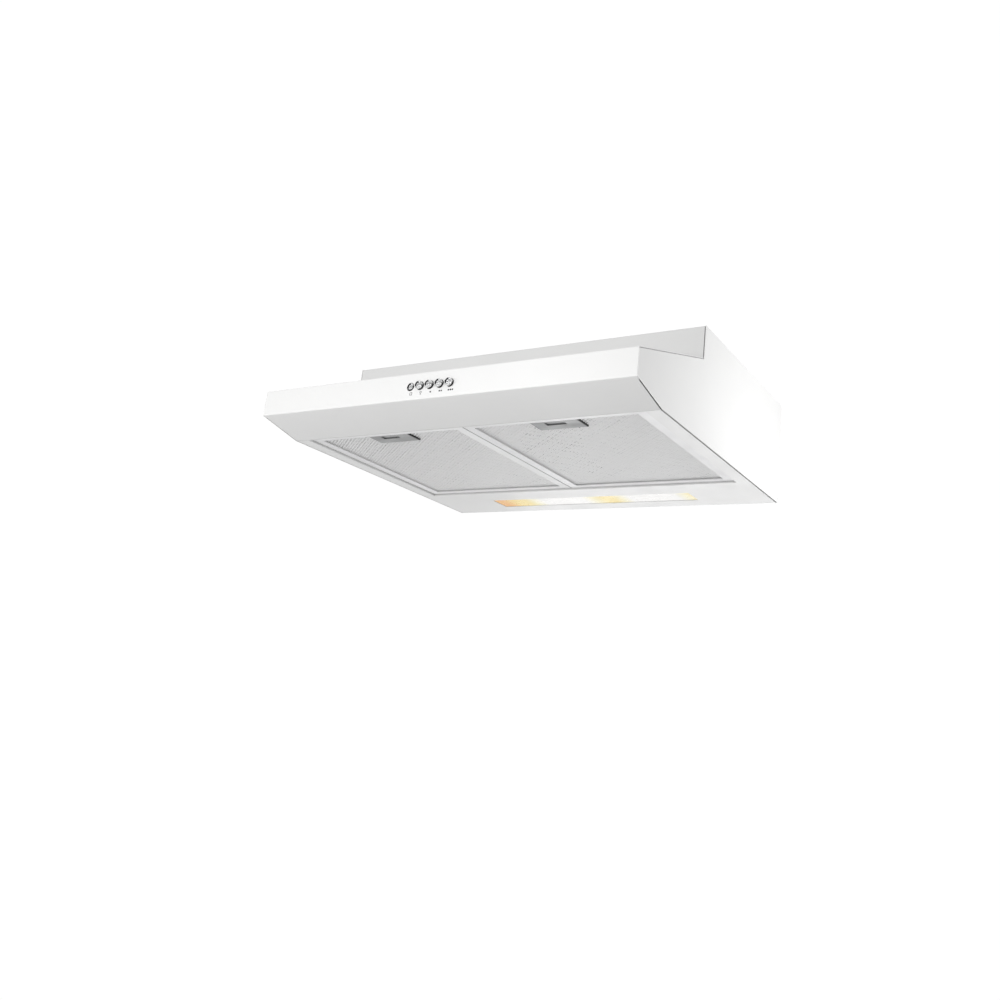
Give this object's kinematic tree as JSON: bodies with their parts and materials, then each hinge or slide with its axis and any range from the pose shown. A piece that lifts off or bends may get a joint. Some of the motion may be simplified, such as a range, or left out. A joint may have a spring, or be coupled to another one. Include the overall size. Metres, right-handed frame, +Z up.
{
  "type": "under cabinet range hood",
  "caption": "Slim under-cabinet range hood with a sloping visor, push buttons, drop-down mesh grease filters, a lamp cover and a blower with a roof duct collar.",
  "frame": {"origin": "centre of the four cabinet screw holes, on the outer face of the roof", "axes": "+Z up out of the roof along the cabinet screws, -Y to the front, +X to the right seen from the front, along the width"},
  "size_m": [0.598, 0.5152, 0.195],
  "materials": {
    "painted_steel": "satin white powder coat",
    "galvanised_steel": "zinc plated",
    "collar_plastic": "fine grained",
    "flap_plastic": "fine grained",
    "pin_steel": "drawn wire",
    "blower_plastic": "fine grained",
    "wheel_plastic": "moulded",
    "motor_metal": "zinc plated",
    "rubber": "matte",
    "capacitor_can": "moulded",
    "white_plastic": "moulded",
    "ivory_plastic": "moulded",
    "button_metal": "satin plated",
    "holder_ceramic": "glazed",
    "bulb_glass": "frosted and lit",
    "lens_plastic": "frosted diffuser",
    "screw_steel": "zinc plated",
    "cable_sheath": "soft sheath",
    "filter_aluminium": "rolled",
    "mesh_aluminium": "expanded mesh",
    "latch_metal": "brushed",
    "bolt_metal": "brushed"
  },
  "bodies": {
    "root": {"side_panel_left": "painted_steel", "side_panel_right": "painted_steel", "top_cover": "painted_steel", "back_panel": "painted_steel", "front_visor": "painted_steel", "bottom_panel": "painted_steel", "duct_collar": "collar_plastic", "flap_pin": "pin_steel", "scroll_left": "blower_plastic", "scroll_right": "blower_plastic", "inlet_ring": "blower_plastic", "motor_housing": "motor_metal", "motor_end_cap": "motor_metal", "motor_bracket": "galvanised_steel", "motor_bushes": "rubber", "capacitor": "capacitor_can", "capacitor_clip": "galvanised_steel", "terminal_box": "white_plastic", "terminal_lid": "white_plastic", "terminal_block": "ivory_plastic", "cable_grommet": "rubber", "switch_body": "white_plastic", "switch_bracket": "galvanised_steel", "lamp_tray": "galvanised_steel", "lamp_holder_left": "holder_ceramic", "lamp_holder_right": "holder_ceramic", "lamp_bulb_left": "bulb_glass", "lamp_bulb_right": "bulb_glass", "collar_screws": "screw_steel", "motor_screws": "screw_steel", "seam_rivets": "screw_steel", "switch_cable": "cable_sheath", "motor_cable": "cable_sheath", "lamp_cable": "cable_sheath"},
    "push_button_1": {"button_1": "button_metal"},
    "push_button_2": {"button_2": "button_metal"},
    "push_button_3": {"button_3": "button_metal"},
    "push_button_4": {"button_4": "button_metal"},
    "push_button_5": {"button_5": "button_metal"},
    "filter_left": {"filter_frame_left": "filter_aluminium", "filter_face_left": "mesh_aluminium", "filter_core_left": "mesh_aluminium", "filter_back_left": "mesh_aluminium", "latch_plate_left": "latch_metal", "latch_spring_left": "pin_steel"},
    "latch_left": {"latch_slider_left": "bolt_metal"},
    "filter_right": {"filter_frame_right": "filter_aluminium", "filter_face_right": "mesh_aluminium", "filter_core_right": "mesh_aluminium", "filter_back_right": "mesh_aluminium", "latch_plate_right": "latch_metal", "latch_spring_right": "pin_steel"},
    "latch_right": {"latch_slider_right": "bolt_metal"},
    "lens": {"lamp_lens": "lens_plastic"},
    "fan_wheel": {"impeller": "wheel_plastic", "motor_shaft": "pin_steel"},
    "flap_front": {"flap_front": "flap_plastic"},
    "flap_rear": {"flap_rear": "flap_plastic"}
  },
  "joints": [
    {"name": "button_1_push", "type": "slide", "parent": "root", "child": "push_button_1", "axis": [0, 1, 0], "range_m": [-0.0045, 0]},
    {"name": "button_2_push", "type": "slide", "parent": "root", "child": "push_button_2", "axis": [0, 1, 0], "range_m": [0, 0.0045], "stiffness_N_per_m": 200, "springref_m": -0.004},
    {"name": "button_3_push", "type": "slide", "parent": "root", "child": "push_button_3", "axis": [0, 1, 0], "range_m": [0, 0.0045], "stiffness_N_per_m": 200, "springref_m": -0.004},
    {"name": "button_4_push", "type": "slide", "parent": "root", "child": "push_button_4", "axis": [0, 1, 0], "range_m": [0, 0.0045], "stiffness_N_per_m": 200, "springref_m": -0.004},
    {"name": "button_5_push", "type": "slide", "parent": "root", "child": "push_button_5", "axis": [0, 1, 0], "range_m": [0, 0.0045], "stiffness_N_per_m": 200, "springref_m": -0.004},
    {"name": "filter_left_hinge", "type": "hinge", "parent": "root", "child": "filter_left", "pos_m": [-0.137, 0.042, -0.1575], "axis": [1, 0, 0], "range_deg": [0, 75]},
    {"name": "latch_left_slide", "type": "slide", "parent": "filter_left", "child": "latch_left", "axis": [0, 1, 0], "range_m": [0, 0.006], "stiffness_N_per_m": 200, "springref_m": -0.004, "deforming": ["latch_spring_left"]},
    {"name": "filter_right_hinge", "type": "hinge", "parent": "root", "child": "filter_right", "pos_m": [0.137, 0.042, -0.1575], "axis": [1, 0, 0], "range_deg": [0, 75]},
    {"name": "latch_right_slide", "type": "slide", "parent": "filter_right", "child": "latch_right", "axis": [0, 1, 0], "range_m": [0, 0.006], "stiffness_N_per_m": 200, "springref_m": -0.004, "deforming": ["latch_spring_right"]},
    {"name": "lens_hinge", "type": "hinge", "parent": "root", "child": "lens", "pos_m": [0, 0.1267, -0.157], "axis": [1, 0, 0], "range_deg": [0, 60]},
    {"name": "fan_spin", "type": "hinge", "parent": "root", "child": "fan_wheel", "pos_m": [0, 0.001, -0.078], "axis": [1, 0, 0], "continuous": true},
    {"name": "flap_front_swing", "type": "hinge", "parent": "root", "child": "flap_front", "pos_m": [0, 0.028, 0.008], "axis": [-1, 0, 0], "range_deg": [0, 75]},
    {"name": "flap_rear_swing", "type": "hinge", "parent": "root", "child": "flap_rear", "pos_m": [0, 0.028, 0.008], "axis": [1, 0, 0], "range_deg": [0, 75]}
  ]
}
